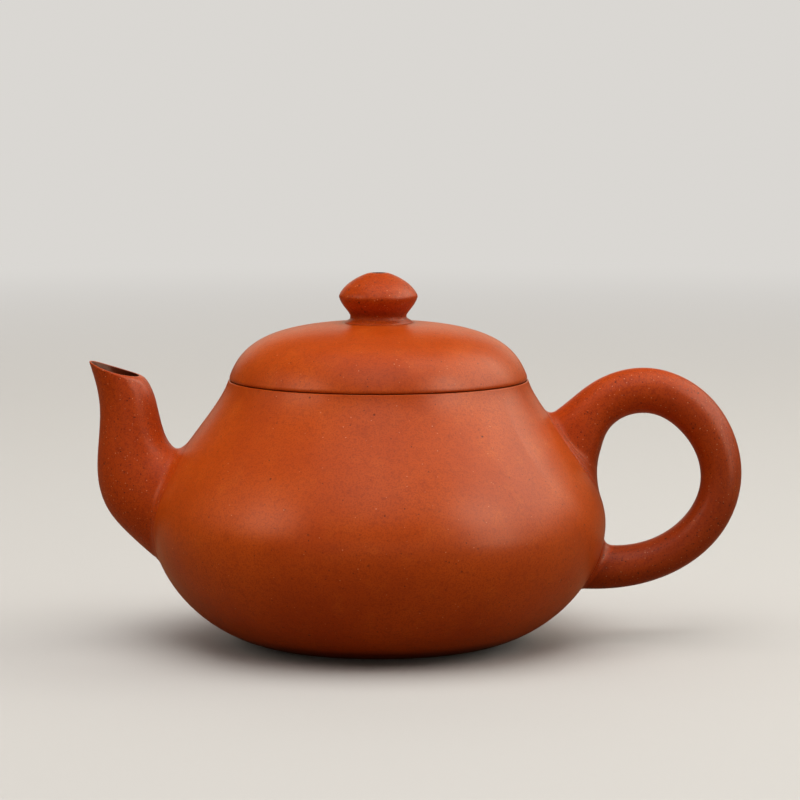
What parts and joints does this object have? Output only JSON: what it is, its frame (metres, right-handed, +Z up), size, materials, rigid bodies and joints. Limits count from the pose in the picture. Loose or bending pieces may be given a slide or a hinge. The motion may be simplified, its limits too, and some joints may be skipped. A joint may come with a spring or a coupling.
{
  "type": "teapot",
  "caption": "Small round unglazed clay teapot with a hollow spout, a loop handle and a lift-off lid whose rim lies flush with the mouth.",
  "frame": {"origin": "centre of the ring the pot stands on, at table level", "axes": "+Z up along the pot's axis, +X towards the handle, -X towards the spout"},
  "size_m": [0.129, 0.09, 0.0732],
  "materials": {
    "pot_clay": "satin",
    "lid_clay": "satin",
    "attached_clay": "satin"
  },
  "bodies": {
    "pot": {"body_wall": "pot_clay", "base_disc": "pot_clay", "mouth_ring": "pot_clay", "ball_strainer": "pot_clay", "spout": "attached_clay", "spout_luting": "attached_clay", "handle": "attached_clay", "handle_upper_luting": "attached_clay", "handle_lower_luting": "attached_clay"},
    "lid": {"lid_dome": "lid_clay", "lid_flange": "lid_clay", "knob": "attached_clay", "knob_luting": "attached_clay"}
  },
  "joints": [
    {"name": "lid_lift", "type": "slide", "parent": "pot", "child": "lid", "axis": [0, 0, 1], "range_m": [0, 0.05]}
  ]
}
